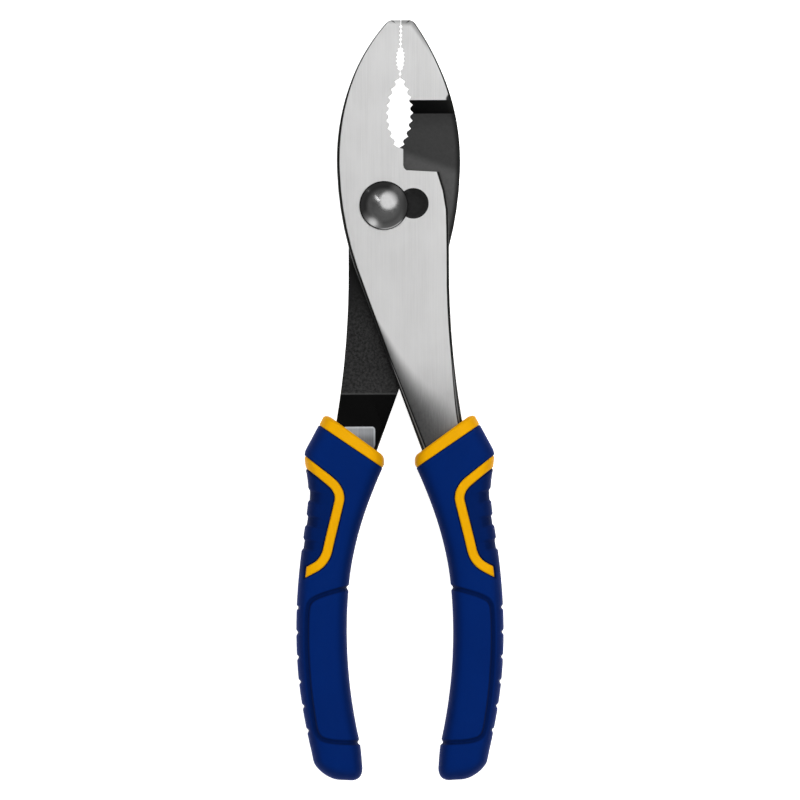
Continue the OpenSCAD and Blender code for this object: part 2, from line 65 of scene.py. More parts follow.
# The modelling frame lies at the slot's centre in the lap plane, and its lengths are in millimetres:
# u to the right and v towards the jaws in plan, s along a handle from its collar, w across it and outwards.
slip = next(j for j in frame["joints"] if j["name"] == "slip")
sleeve_low, sleeve_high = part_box("slotted_grip_sleeve")
SLOT_CENTRE = -Vector(slip["axis"]) * slip["range_m"][1] / 2
LAP_Z = (sleeve_low.z + sleeve_high.z) / 2
FRAME_SHIFT = np.array([SLOT_CENTRE.x, SLOT_CENTRE.y, LAP_Z])

# Jaw, shank and tang, as in the part's source
JAW_R, JAW_HW, WIDEST_V, SHOULDER_R = 59.41, 16.5, 11.9, 90.0
SHANK_EDGE, SHANK_T, SHANK_R = math.radians(20), 8.4, 1.8
WAIST_HW, WAIST_END, WAIST_R = 13.45, 17.5, 243.0
LEFT_DROP, RIGHT_RISE = 3.5, 4.3
TANG_W, TANG_T, TANG_END, TANG_FADE = 8.0, 6.4, 8.0, 20.0

# Outline of a grip, as in the part's source
COLLAR_AT, COLLAR_X, COLLAR_L, COLLAR_ROUND = 62.3, 10.9, 3.2, 1.4
COLLAR_TILT, COLLAR_TURN = math.radians(14), 24.0
END_TILT, END_TURN = math.radians(20), 14.0
BOW_V, BOW_X, END_V = -114.3, 21.1, -153.9
GRIP_W, GRIP_T, GRIP_N = 13.7, 16.0, 3.0
HALF_W = GRIP_W / 2
GUARD_H, GUARD_AT, GUARD_FALL = 5.7, 9.5, 5.5
GUARD_START, GUARD_RISE_POWER, GUARD_FALL_POWER = 0.8, 1.4, 2.2
FLARE_H, FLARE_L, FLARE_POWER = 2.6, 38.0, 1.5
SLIP_ROOM = 4.1
IN_TAPER, IN_TAPER_L = 0.9, 8.0
OUT_TAPER, OUT_TAPER_AT, OUT_TAPER_L, OUT_TAPER_END = 0.3, 62.0, 20.0, 6.0
END_ZONE, END_OUT_R, END_IN_R, END_Z_R = 9.5, 5.6, 4.0, 5.5
TOP_DROP, TOP_DROP_L = 0.6, 6.0
CORE_WALL, FIT = 1.2, 0.05

# Details of a grip
COLLAR_LIP, LIP_FALL, COLLAR_FOOT, FOOT_STEP = 1.0, 0.9, 0.35, 0.5
MOUTH_S, MOUTH_EDGE_S, MOUTH_FLARE = 0.55, 0.2, 0.3
SLEEVE_LIP = 0.4
STRIPE_W, STRIPE_Z, STRIPE_BASE, STRIPE_MARGIN = 2.4, 3.9, 1.6, 0.4
STRIPE_SINK, STRIPE_DIVE, DIVE_EDGE = 0.05, 0.7, 0.3
STRIPE_CUT, STRIPE_CUT_AT = 0.74 * HALF_W, 30.0
GUARD_END, GUARD_SIDE = 16.0, 5.8
BED_D, BED_EDGE, BED_SOFT = 0.75, 0.34, 0.6
GROOVE_W, GROOVE_D, GROOVE_POWER = 1.4, 0.5, 1.3
RIB_AT, RIB_PITCH, RIB_N, RIB_W, RIB_SOFT = 18.6, 6.1, 3, 2.6, 0.7
RIB_REACH, RIB_FADE = 5.4, 3.2
PANEL_L, PANEL_END = 33.7, 13.4
NOTCH_N, NOTCH_W, NOTCH_D, NOTCH_SOFT = 6, 0.8, 0.4, 0.6
NOTCH_FIRST, NOTCH_LAST, NOTCH_REACH, NOTCH_FADE = 0.7, 1.4, 0.9, 0.7
RIDGE_H, RIDGE_W = 0.05, 0.22

# Painted shade of the rubber in its details, at the stripe's seams and under its lip, and the darker loop of
# the stripe: how dark, as a share, and how far that reaches
GROOVE_SHADE, GROOVE_SHADE_W, GROOVE_SHADE_SOFT = 0.33, 1.15, 0.7
STRIPE_SHADE, STRIPE_SHADE_W, STRIPE_SHADE_SOFT = 0.6, 0.5, 0.25
LOOP_SHADE, LOOP_SHADE_SOFT = 0.24, 0.6
RIB_SHADE, LIP_SHADE = 0.85, 1.2

# Middle line of a handle, an arc through the collar and the bow
bow_h, bow_d = -COLLAR_AT - BOW_V, BOW_X - COLLAR_X
BOW_R = (bow_h ** 2 + bow_d ** 2) / (2 * bow_d)
BOW_TOP = math.asin(bow_h / BOW_R)
GRIP_L = (BOW_TOP - math.asin((END_V - BOW_V) / BOW_R)) * BOW_R
TANG_L = GRIP_L - TANG_END
PANEL_LOW = GRIP_L - PANEL_END
PANEL_AT = PANEL_LOW - PANEL_L

# Straight inner edge of the shank, and both its edges where it enters the collar
EDGE_V = WIDEST_V - SHOULDER_R * math.sin(SHANK_EDGE)
EDGE_U = SHOULDER_R * (1 - math.cos(SHANK_EDGE)) - JAW_HW
left_v, right_v = -COLLAR_AT - LEFT_DROP, -COLLAR_AT + RIGHT_RISE
COLLAR_LEFT = np.array([EDGE_U + (EDGE_V - left_v) * math.tan(SHANK_EDGE), left_v])
waist_flare = WAIST_R - math.sqrt(WAIST_R ** 2 - (right_v + WAIST_END) ** 2)
COLLAR_RIGHT = np.array([WAIST_HW + waist_flare, right_v])

# Fineness of the grip meshes
ROW_STEP, COLUMNS = 0.24, 208
COLLAR_ROWS, END_ROWS, END_ROWS_L = 8, 40, 7.0
TUBE_S = np.linspace(COLLAR_L, TANG_L, 12)
TURN = np.linspace(0, math.pi / 2, 7)
CAP_RINGS = 0.8, 0.6, 0.4, 0.2


def smooth(t):
    c = np.clip(t, 0, 1)
    return c * c * (3 - 2 * c)


def signed_power(x, e):
    return np.sign(x) * np.abs(x) ** e


def across_angle(s):
    at_end = smooth((s - GRIP_L) / END_TURN + 1)
    return BOW_TOP - s / BOW_R + COLLAR_TILT * (1 - smooth(s / COLLAR_TURN)) + END_TILT * at_end


def middle(s):
    a = BOW_TOP - s / BOW_R
    return np.stack([BOW_X - BOW_R + BOW_R * np.cos(a), BOW_V + BOW_R * np.sin(a)], -1)


def across(s):
    a = across_angle(s)
    return np.stack([np.cos(a), np.sin(a)], -1)


def at(s, w):
    """Plan point at s along the handle and w across it."""
    s, w = np.asarray(s, float), np.asarray(w, float)
    return middle(s) + w[..., None] * across(s)


def round_end(s, r):
    d = np.maximum(s - GRIP_L + r, 0)
    return r - np.sqrt(np.maximum(0, r * r - d * d))


def inner_w(s):
    flare = FLARE_H * (1 - np.minimum(1, s / FLARE_L)) ** FLARE_POWER
    limit = (middle(s)[..., 0] - SLIP_ROOM) / np.cos(across_angle(s))
    taper = IN_TAPER * smooth((s - GRIP_L + END_ZONE) / IN_TAPER_L)
    return np.minimum(HALF_W + flare, limit) - taper - round_end(s, END_IN_R)


def outer_w(s):
    rise = GUARD_START + (1 - GUARD_START) * (np.maximum(s, 0) / GUARD_AT) ** GUARD_RISE_POWER
    fall = 1 / (1 + (np.maximum(s - GUARD_AT, 0) / GUARD_FALL) ** GUARD_FALL_POWER)
    guard = np.where(s < GUARD_AT, rise, fall)
    below_bow = smooth((s - OUT_TAPER_AT) / OUT_TAPER_L)
    at_end = smooth((s - GRIP_L + END_ZONE) / OUT_TAPER_END)
    start = np.maximum(COLLAR_ROUND - s, 0)
    corner = COLLAR_ROUND - np.sqrt(np.maximum(0, COLLAR_ROUND ** 2 - start ** 2))
    taper = OUT_TAPER * (1 + below_bow - at_end)
    return HALF_W - taper + GUARD_H * guard - corner - round_end(s, END_OUT_R)


def half_z(s):
    return GRIP_T / 2 - TOP_DROP * (1 - smooth(s / TOP_DROP_L)) - round_end(s, END_Z_R)


def column_angles(n):
    """Angles of n columns that lie evenly round a section of the grip."""
    t = np.linspace(0, 2 * math.pi, 40001)
    x = HALF_W * signed_power(np.cos(t), 2 / GRIP_N)
    z = GRIP_T / 2 * signed_power(np.sin(t), 2 / GRIP_N)
    run = np.concatenate([[0], np.cumsum(np.hypot(np.diff(x), np.diff(z)))])
    return np.interp(np.arange(n) / n * run[-1], run, t)


ANGLES = column_angles(COLUMNS)
XI = signed_power(np.cos(ANGLES), 2 / GRIP_N)
ZETA = signed_power(np.sin(ANGLES), 2 / GRIP_N)


def skin(s, g):
    """Rings of the grip's skin at the stations s, each grown by its g, with the place across."""
    s = np.asarray(s, float)
    g = np.broadcast_to(np.asarray(g, float), s.shape)
    a, b, z = inner_w(s) + g, outer_w(s) + g, half_z(s) + g
    w = ((b - a) / 2)[:, None] + ((a + b) / 2)[:, None] * XI
    plan = at(np.repeat(s[:, None], COLUMNS, 1), w)
    return np.concatenate([plan, (z[:, None] * ZETA)[..., None]], -1), w


def tang(s, g):
    """Rings round the steel tang at the stations s, grown by g: a bar with rounded corners."""
    s = np.asarray(s, float)
    fade = (1 - smooth(s / TANG_FADE))[:, None]
    left = at(s, np.full_like(s, -TANG_W / 2)) + (COLLAR_LEFT - at(0, -TANG_W / 2)) * fade
    right = at(s, np.full_like(s, TANG_W / 2)) + (COLLAR_RIGHT - at(0, TANG_W / 2)) * fade
    z = TANG_T / 2 + (SHANK_T - TANG_T) / 2 * fade[:, 0] + g
    r = SHANK_R + g
    centre = (left + right) / 2
    width = np.linalg.norm(right - left, axis=1)
    d = (right - left) / width[:, None]
    x = np.where(XI >= 0, 1, -1) * (width[:, None] / 2 + g - r) + r * np.cos(ANGLES)
    y = np.where(ZETA >= 0, 1, -1) * (z[:, None] - r) + r * np.sin(ANGLES)
    plan = centre[:, None, :] + x[..., None] * d[:, None, :]
    return np.concatenate([plan, y[..., None]], -1)


def rounded_path(points, rounds=3):
    """Corner cutting, which turns a bent line into a smooth one with the same ends."""
    p = np.asarray(points, float)
    for _ in range(rounds):
        a, b = p[:-1], p[1:]
        cut = np.stack([a * 0.75 + b * 0.25, a * 0.25 + b * 0.75], 1).reshape(-1, 2)
        p = np.concatenate([p[:1], cut, p[-1:]])
    return p


def along(start, steps):
    """Plan points of steps, each a length from start and a share of the half width."""
    return [at(start + s, w * HALF_W) for s, w in steps]


STRIPE_STEPS = [(11.6, 1.97), (13.7, 0.44), (14.9, 0.13), (16.8, -0.06), (19, -0.07), (29.5, -0.02),
                (32.4, 0), (34.4, 0.12), (36, 0.31), (38.6, 0.95)]
STRIPE_PATH = rounded_path(along(0, STRIPE_STEPS))
PANEL_TOP = [(-6.3, -1.3), (-3.5, -0.13), (-1.9, 0.33), (-0.8, 0.49), (0.8, 0.56)]
PANEL_SIDE = [((PANEL_L - 2.5) * i / 4, 0.56 + 0.01 * i) for i in (1, 2, 3)]
PANEL_FOOT = [(-2.5, 0.59), (-0.4, 0.57), (0.8, 0.5), (1.8, 0.36), (3.1, -0.12), (4.2, -1.3)]
GROOVE_PATH = rounded_path(along(PANEL_AT, PANEL_TOP + PANEL_SIDE) + along(PANEL_LOW, PANEL_FOOT))


def distance(points, path):
    """Distance in plan of every point from a bent line."""
    best = np.full(points.shape[:-1], np.inf)
    for a, b in zip(path[:-1], path[1:]):
        d = b - a
        t = np.clip(((points - a) @ d) / (d @ d), 0, 1)
        best = np.minimum(best, np.linalg.norm(points - a - t[..., None] * d, axis=-1))
    return best


def outward(points):
    """Normals of a grid of rings, pointing away from its middle."""
    ring = np.roll(points, -1, 1) - np.roll(points, 1, 1)
    rise = np.gradient(points, axis=0)
    n = np.cross(ring, rise)
    n /= np.maximum(np.linalg.norm(n, axis=-1, keepdims=True), 1e-9)
    away = points - points.mean(1, keepdims=True)
    return n * np.sign((n * away).sum())


def stripe_edge(points, s, w):
    """Signed distance from the edge of the stripe, negative inside it."""
    q = distance(points[..., :2], STRIPE_PATH) - STRIPE_W / 2
    on_face = np.maximum(q, STRIPE_Z - np.abs(points[..., 2]))
    round_guard = (s < GUARD_END) & (w > GUARD_SIDE)
    q = np.where(round_guard, q, on_face)
    return np.where(s > STRIPE_CUT_AT, np.maximum(q, w - STRIPE_CUT), q)


def in_loop(s, w):
    """One inside the loop of the stripe, where the rubber is a little darker."""
    path_s, path_w = np.array(STRIPE_STEPS).T
    beyond = smooth((w - np.interp(s, path_s, path_w * HALF_W)) / LOOP_SHADE_SOFT)
    return beyond * (s > path_s[0]) * (s < path_s[-1])


def bump_window(s, centre, width, soft):
    return smooth((width / 2 - np.abs(s - centre)) / soft + 0.5)


def sleeve_depth(points, s, w, edge):
    """How far the sleeve lies under its smooth section in its details, and how dark the painted shade in
    them is.
    """
    bed = BED_D * smooth((BED_EDGE - edge) / BED_SOFT)
    off = distance(points[..., :2], GROOVE_PATH)
    groove = GROOVE_D * np.clip(1 - (off / (GROOVE_W / 2)) ** 2, 0, 1) ** GROOVE_POWER

    # Ribs beside the stripe and notches beside the panel, on the outer side of the handle
    from_side = w - outer_w(s)
    ribs = sum(bump_window(s, RIB_AT + RIB_PITCH * i, RIB_W, RIB_SOFT) for i in range(RIB_N))
    ribs = NOTCH_D * ribs * smooth((from_side + RIB_REACH) / RIB_FADE)
    notch_at = np.linspace(PANEL_AT + NOTCH_FIRST, PANEL_LOW - NOTCH_LAST, NOTCH_N)
    notches = sum(bump_window(s, a, NOTCH_W, NOTCH_SOFT) for a in notch_at)
    notches = NOTCH_D * notches * smooth((from_side + NOTCH_REACH) / NOTCH_FADE)

    # Painted shade: in the stripe's bed, the ribs and the notches, and wider but lighter than the groove
    groove_shade = GROOVE_SHADE * smooth((GROOVE_SHADE_W - off) / GROOVE_SHADE_SOFT)
    shade = np.maximum.reduce([bed, groove_shade, RIB_SHADE * ribs, notches])
    return np.maximum.reduce([bed, groove, ribs, notches]), shade


def stripe_depth(edge):
    """The stripe is flush, a little crowned, and dives under the sleeve at its edge."""
    return STRIPE_SINK + STRIPE_DIVE * np.clip((edge + DIVE_EDGE) / (2 * DIVE_EDGE), 0, 2) ** 2


def parting_ridge(points):
    """Fine mould line round the middle of the sleeve."""
    return RIDGE_H * np.exp(-(points[..., 2] / RIDGE_W) ** 2)


def closed_tube(rows):
    """A closed solid through a list of rings: each end is closed with a fan."""
    points = np.concatenate([r.reshape(-1, COLUMNS, 3) for r in rows])
    count = len(points)
    flat = points.reshape(-1, 3)
    tips = np.stack([points[0].mean(0), points[-1].mean(0)])
    i, j = np.meshgrid(np.arange(count - 1), np.arange(COLUMNS), indexing="ij")
    a, b = i * COLUMNS + j, i * COLUMNS + (j + 1) % COLUMNS
    faces = np.stack([a, b, b + COLUMNS, a + COLUMNS], -1).reshape(-1, 4).tolist()
    last = (count - 1) * COLUMNS
    for j in range(COLUMNS):
        k = (j + 1) % COLUMNS
        faces.append([len(flat), k, j])
        faces.append([len(flat) + 1, last + j, last + k])
    return np.concatenate([flat, tips]), faces


def thick_patch(top, base, keep):
    """A closed plate from the kept cells of a grid, between its top points and its base points."""
    columns = keep.shape[1]
    cells = [[i * columns + j, i * columns + (j + 1) % columns,
              (i + 1) * columns + (j + 1) % columns, (i + 1) * columns + j]
             for i, j in np.argwhere(keep[:-1])]
    used = sorted({v for c in cells for v in c})
    index = {v: n for n, v in enumerate(used)}
    n = len(used)
    faces, edges = [], {}
    for c in cells:
        c = [index[v] for v in c]
        faces.append(c)
        faces.append([v + n for v in reversed(c)])
        for a, b in zip(c, c[1:] + c[:1]):
            edges[(a, b)] = (b, a) not in edges
            if not edges[(a, b)]:
                edges[(b, a)] = False
    faces += [[b, a, a + n, b + n] for (a, b), open_edge in edges.items() if open_edge]
    points = np.concatenate([top.reshape(-1, 3)[used], base.reshape(-1, 3)[used]])
    return points, faces


def signed_volume(points, faces):
    corners = np.array([f if len(f) == 4 else f + f[:1] for f in faces])
    a, b, c, d = (points[corners[:, k]] for k in range(4))
    return (a * np.cross(b, c)).sum() + (a * np.cross(c, d)).sum()


def add_piece(name, points, faces, body, side, depth=None):
    """A grip piece from points in the modelling frame, in millimetres; side -1 turns it over."""
    if signed_volume(points, faces) < 0:
        faces = [f[::-1] for f in faces]
    turned = points * np.array([side, 1, side])
    mesh = bpy.data.meshes.new(name)
    mesh.from_pydata((turned * MM + FRAME_SHIFT).tolist(), [], faces)
    mesh.shade_smooth()
    if depth is not None:
        # The depth attribute holds painted shade, which the material reads
        layer = mesh.attributes.new("depth", "FLOAT", "POINT")
        layer.data.foreach_set("value", depth.astype(np.float32))
    obj = bpy.data.objects.new(name, mesh)
    bpy.context.scene.collection.objects.link(obj)
    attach(obj, body)
    return obj


def make_core(half, body, side):
    """Yellow core of one handle: bore, rim of the collar, collar, then the tube under the sleeve."""
    foot_s = COLLAR_L - COLLAR_FOOT
    collar_s = np.concatenate([COLLAR_LIP * (1 - np.sin(TURN[::-1])),
                               np.linspace(COLLAR_LIP, foot_s, COLLAR_ROWS)[1:],
                               foot_s + COLLAR_FOOT * np.sin(TURN[1:])])
    collar_g = np.concatenate([-LIP_FALL * (1 - np.cos(TURN[::-1])),
                               np.zeros(COLLAR_ROWS - 1),
                               -COLLAR_FOOT * (1 - np.cos(TURN[1:]))])
    bore = [tang(TUBE_S[::-1], FIT), tang([MOUTH_S], FIT), tang([MOUTH_EDGE_S], FIT + MOUTH_FLARE)]
    collar = [skin(collar_s, collar_g)[0], skin([COLLAR_L], -COLLAR_FOOT - FOOT_STEP)[0]]
    points, faces = closed_tube(bore + collar + [tang(TUBE_S, CORE_WALL)])
    core = add_piece(half + "_collar_core", points, faces, body, side)
    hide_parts(half + "_grip_core")
    core.data.materials.append(YELLOW)


def sleeve_rows():
    """Stations of the sleeve's rings and how far each is grown: rolled lip, length and rounded end."""
    top = COLLAR_L + FIT
    lip_s = top + SLEEVE_LIP * (1 - np.cos(TURN))
    body_s = np.arange(top + SLEEVE_LIP + ROW_STEP, GRIP_L - END_ROWS_L, ROW_STEP)
    end_s = GRIP_L - END_ROWS_L * (1 - np.sin(np.linspace(0, math.pi / 2, END_ROWS)))
    growth = np.concatenate([SLEEVE_LIP * (np.sin(TURN) - 1), np.zeros(len(body_s) + len(end_s))])
    return np.concatenate([lip_s, body_s, end_s]), growth


def make_cover(half, body, side):
    """Blue sleeve of one handle, and the stripe of the core that shows through it."""
    s, growth = sleeve_rows()
    points, w = skin(s, growth)
    normal = outward(points)
    station = np.repeat(s[:, None], COLUMNS, 1)
    edge = stripe_edge(points, station, w)
    depth, shade = sleeve_depth(points, station, w, edge)
    ridge = parting_ridge(points) * (depth < 0.01)
    out = points + normal * (ridge - depth)[..., None]
    tip = out[-1].mean(0)
    cap = [tip + (out[-1] - tip) * f for f in CAP_RINGS]
    inside = tang(TUBE_S[::-1], CORE_WALL + FIT)
    shell, faces = closed_tube([inside, out] + cap)

    # Painted shade at the seams of the stripe and under the lip, and the darker loop of the stripe, join
    # that of the details
    near_stripe = STRIPE_SHADE * smooth((STRIPE_SHADE_W - edge) / STRIPE_SHADE_SOFT)
    under_lip = np.repeat(-LIP_SHADE * growth[:, None], COLUMNS, 1)
    shade = np.maximum.reduce([shade, under_lip, near_stripe, LOOP_SHADE * in_loop(station, w)])
    shell_shade = np.zeros(len(shell))
    first = len(inside) * COLUMNS
    shell_shade[first:first + shade.size] = shade.ravel()
    sleeve = add_piece(half + "_sleeve", shell, faces, body, side, shell_shade)
    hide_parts(half + "_grip_sleeve")
    sleeve.data.materials.append(BLUE)

    # The stripe runs round the guard and along both faces
    raised = points - normal * stripe_depth(edge)[..., None]
    plate, quads = thick_patch(raised, points - normal * STRIPE_BASE, edge < STRIPE_MARGIN)
    stripe = add_piece(half + "_stripe", plate, quads, body, side)
    stripe.data.materials.append(YELLOW)


class Graph:
    """Small help for writing node trees: each call adds a node and returns its output."""

    def __init__(self, tree):
        self.tree = tree

    def node(self, kind, **settings):
        n = self.tree.nodes.new(kind)
        for key, value in settings.items():
            setattr(n, key, value)
        return n

    def put(self, socket, value):
        if isinstance(value, bpy.types.NodeSocket):
            self.tree.links.new(value, socket)
        else:
            socket.default_value = value

    def math(self, operation, a, b=0.0):
        n = self.node("ShaderNodeMath", operation=operation)
        self.put(n.inputs[0], a)
        self.put(n.inputs[1], b)
        return n.outputs[0]

    def add(self, a, b):
        return self.math("ADD", a, b)

    def sub(self, a, b):
        return self.math("SUBTRACT", a, b)

    def mul(self, a, *factors):
        for b in factors:
            a = self.math("MULTIPLY", a, b)
        return a

    def larger(self, a, b):
        return self.math("MAXIMUM", a, b)

    def size(self, a):
        return self.math("ABSOLUTE", a)

    def length(self, a, b):
        return self.math("SQRT", self.add(self.mul(a, a), self.mul(b, b)))

    def ramp(self, value, low, high, to_low=0.0, to_high=1.0):
        """Smooth step of value between low and high."""
        n = self.node("ShaderNodeMapRange", interpolation_type="SMOOTHSTEP")
        for i, v in enumerate((value, low, high, to_low, to_high)):
            self.put(n.inputs[i], v)
        return n.outputs[0]

    def noise(self, coords, scale, detail=3.0, rough=0.55):
        """Noise with its own scale along each axis, in cycles per metre."""
        m = self.node("ShaderNodeMapping")
        self.put(m.inputs["Vector"], coords)
        m.inputs["Scale"].default_value = scale
        n = self.node("ShaderNodeTexNoise")
        self.put(n.inputs["Vector"], m.outputs[0])
        n.inputs["Scale"].default_value = 1.0
        n.inputs["Detail"].default_value = detail
        n.inputs["Roughness"].default_value = rough
        return n.outputs["Fac"]

    def mix(self, factor, a, b):
        n = self.node("ShaderNodeMix", data_type="RGBA")
        self.put(n.inputs[0], factor)
        self.put(n.inputs[6], a)
        self.put(n.inputs[7], b)
        return n.outputs[2]

    def mix_value(self, factor, a, b):
        n = self.node("ShaderNodeMix", data_type="FLOAT")
        self.put(n.inputs[0], factor)
        self.put(n.inputs[2], a)
        self.put(n.inputs[3], b)
        return n.outputs[0]

    def split(self, vector):
        n = self.node("ShaderNodeSeparateXYZ")
        self.put(n.inputs[0], vector)
        return n.outputs

    def bump(self, height, strength, distance):
        n = self.node("ShaderNodeBump")
        n.inputs["Strength"].default_value = strength
        n.inputs["Distance"].default_value = distance
        self.put(n.inputs["Height"], height)
        return n.outputs[0]


def new_material(name):
    material = bpy.data.materials.new(name)
    material.use_nodes = True
    shader = material.node_tree.nodes["Principled BSDF"]
    graph = Graph(material.node_tree)
    coords = graph.node("ShaderNodeTexCoord")
    return material, graph, shader, coords


def gray(v, warm=0.0):
    return (v * (1 + warm), v, v * (1 - warm), 1)


# Tones of the forged halves
STEEL_DARK, STEEL_LIGHT, STEEL_CLOUD = gray(0.616, 0.003), gray(0.665, 0.002), gray(0.698, 0.002)
STEEL_PATCH = (0.616, 0.64, 0.668, 1)
POCKET, POCKET_LOW, STEP_FOOT_SHADE = gray(0.06), gray(0.112), gray(0.048)
HOLE_SHADOW, POCKET_RIM = gray(0.033), gray(0.018)
TANG_DARK, TANG_LIGHT, TANG_SHADOW = gray(0.016), gray(0.058), gray(0.0145)
SIDE, SIDE_AT_TIP = gray(0.009), gray(0.07)
DULL_DARK, DULL_LIGHT, DULL_UNDER = gray(0.064), gray(0.092), gray(0.032)
STEP, STEP_END = gray(0.014), gray(0.024)
RAMP_BURNISH_GLINT, BEHIND_RAMP_SHADE, WORN_EDGE_GLINT = gray(0.1), gray(0.005), gray(0.22)

# Places on them, in millimetres
FACE_H = 3.95, 4.1
RUN_OUT_V, RUN_OUT_RATE, RUN_OUT_LATE, RUN_OUT_SPAN = -26.0, 0.11, 1.9e-7, 2.5
PATCH_U, PATCH_V, PATCH_HW, PATCH_ROUND = 10.8, -60.3, 3.45, 0.9
HOLE_U = -3.94
RAMP_V = -50.6


class HalfPlaces:
    """Where a point of a half lies, as node outputs: its own plan, height, facing and grain."""

    def __init__(self, g, coords, patch_side):
        place = coords.outputs["Object"]
        x, y, z = g.split(place)
        self.u = g.mul(g.sub(x, SLOT_CENTRE.x), -patch_side / MM)
        self.v = g.mul(g.sub(y, SLOT_CENTRE.y), 1 / MM)
        # Height over the lap plane, positive towards the half's own outer face
        self.h = g.mul(g.sub(z, LAP_Z), -patch_side / MM)
        self.level = g.size(self.h)
        self.flat = g.size(g.split(coords.outputs["Normal"])[2])
        self.under = g.ramp(self.h, 0.0, -1.0)

        self.lines = g.noise(place, (5200, 60, 5200), 4, 0.6)
        self.hair = g.noise(place, (12000, 140, 12000), 3, 0.7)
        self.grain = g.noise(place, (1400, 1400, 1400), 6, 0.7)
        self.cloud = g.noise(place, (130, 60, 130), 3)
        self.streaks = g.mul(g.sub(self.lines, 0.5), 0.3)

        # How far inside the outer edge of the jaw and its shoulder
        over = g.sub(self.v, WIDEST_V)
        in_jaw = g.sub(JAW_R, g.length(g.sub(self.u, JAW_R - JAW_HW), over))
        in_shoulder = g.sub(SHOULDER_R, g.length(g.sub(self.u, SHOULDER_R - JAW_HW), over))
        self.inside = g.mix_value(g.math("GREATER_THAN", over, 0.0), in_shoulder, in_jaw)

        # Outer faces: the whole front of the half, and the jaw's part of its back
        face = g.mul(g.ramp(self.level, *FACE_H), g.ramp(self.flat, 0.96, 0.998))
        self.face = g.mul(face, g.larger(g.ramp(self.h, 0.0, 1.0), g.ramp(self.v, 0.0, 5.0)))


def ground_share(g, p):
    """How bright the outer faces are ground: they run out from the inner edge, more and more to the grip."""
    slope = math.tan(SHANK_EDGE)
    inner_edge = g.sub(EDGE_U + EDGE_V * slope, g.mul(p.v, slope))
    beyond = g.larger(g.sub(RUN_OUT_V, p.v), 0.02)
    late = g.mul(g.math("POWER", beyond, 5.0), RUN_OUT_LATE)
    half_way = g.add(g.mul(beyond, RUN_OUT_RATE), late)
    past = g.math("DIVIDE", g.sub(p.u, inner_edge), half_way)
    return g.mul(p.face, g.ramp(g.add(past, p.streaks), 0.0, RUN_OUT_SPAN))


def dark_corner(g, p):
    """Outer corner of the tip and outer end of the step, which stay dark, and the line across the tip."""
    corner = g.mul(g.ramp(p.inside, 1.2, 0.1), g.ramp(p.v, 36, 46, 0.0, 0.45))
    step_end = g.ramp(p.v, 30.6, 27.9, -0.2, 1.4)
    step_end = g.ramp(g.sub(p.inside, step_end), 0.3, -0.2)
    corner = g.mul(g.larger(corner, step_end), p.under)
    front_line, back_line = g.ramp(p.v, 48.0, 49.3, 0.0, 0.4), g.ramp(p.v, 47.4, 48.8, 0.0, 0.54)
    return g.larger(corner, g.mix_value(p.under, front_line, back_line))


def patch_share(g, p):
    """Ground patch on the back of the tang, with rounded corners, a painted highlight round its rim,
    streaks, and brighter towards its top.
    """
    beside = g.larger(g.sub(g.size(g.sub(p.u, PATCH_U)), PATCH_HW), 0.0)
    above = g.larger(g.sub(p.v, PATCH_V), 0.0)
    border = g.sub(g.length(beside, above), PATCH_ROUND)
    patch = g.mul(g.ramp(border, 0.1, -0.12), g.ramp(p.h, -3.9, -4.1))
    # Painted highlight round the rim of the patch
    rim = g.ramp(g.size(g.add(border, 0.22)), 0.34, 0.1)
    # Brighter towards the top of the patch
    patch_level = g.add(g.ramp(p.v, -63.2, -60.8, 0.28, 0.49), p.streaks)
    return g.mul(patch, g.add(g.mul(rim, 0.25), patch_level))


def bright_steel(g, p):
    """Brushed steel with fine lines and slow changes of tone."""
    steel = g.mix(g.ramp(p.lines, 0.3, 0.7), STEEL_DARK, STEEL_LIGHT)
    steel = g.mix(g.mul(g.ramp(p.cloud, 0.35, 0.7), 0.6), steel, STEEL_CLOUD)
    # On the patch the steel is tinted bluer, to offset the yellow light the collar throws on it
    on_patch = g.ramp(p.h, -3.0, -3.9, 0.0, g.ramp(p.v, -54, -56))
    return g.mix(on_patch, steel, STEEL_PATCH)


def lap_tone(g, p):
    """Black oxide of the lap face: smooth in the jaw's pocket, grainy on the tang; painted shade beneath the
    hole, at the foot of the step and where the other half shades the tang, and a pale line, part burnishing
    and part painted highlight, where the ramp starts.
    """
    low = g.ramp(g.sub(p.v, g.mul(p.u, 0.35)), 15.8, 12.8)
    pocket = g.mix(low, POCKET, POCKET_LOW)
    # Painted shadow on the lap face beneath the hole
    from_hole = g.length(g.sub(p.u, HOLE_U), p.v)
    pocket = g.mix(g.ramp(from_hole, 6.2, 2.6), pocket, HOLE_SHADOW)
    # Painted shade at the foot of the step
    pocket = g.mix(g.ramp(p.v, 19, 24.5), pocket, STEP_FOOT_SHADE)
    pocket = g.mix(g.ramp(p.inside, 1.7, 0.3, 0.0, 0.9), pocket, POCKET_RIM)
    on_tang = g.mix(g.ramp(p.grain, 0.32, 0.72), TANG_DARK, TANG_LIGHT)
    # Painted shadow of the other half along the top of the tang
    on_tang = g.mix(g.ramp(p.v, -36, -16), on_tang, TANG_SHADOW)
    tone = g.mix(g.ramp(p.v, -16, -10), on_tang, pocket)
    # A pale line where the ramp starts, part burnishing and part painted highlight
    at_ramp = g.ramp(g.size(g.sub(p.v, RAMP_V)), 0.3, 0.1)
    return g.mix(g.mul(at_ramp, 0.4), tone, RAMP_BURNISH_GLINT)


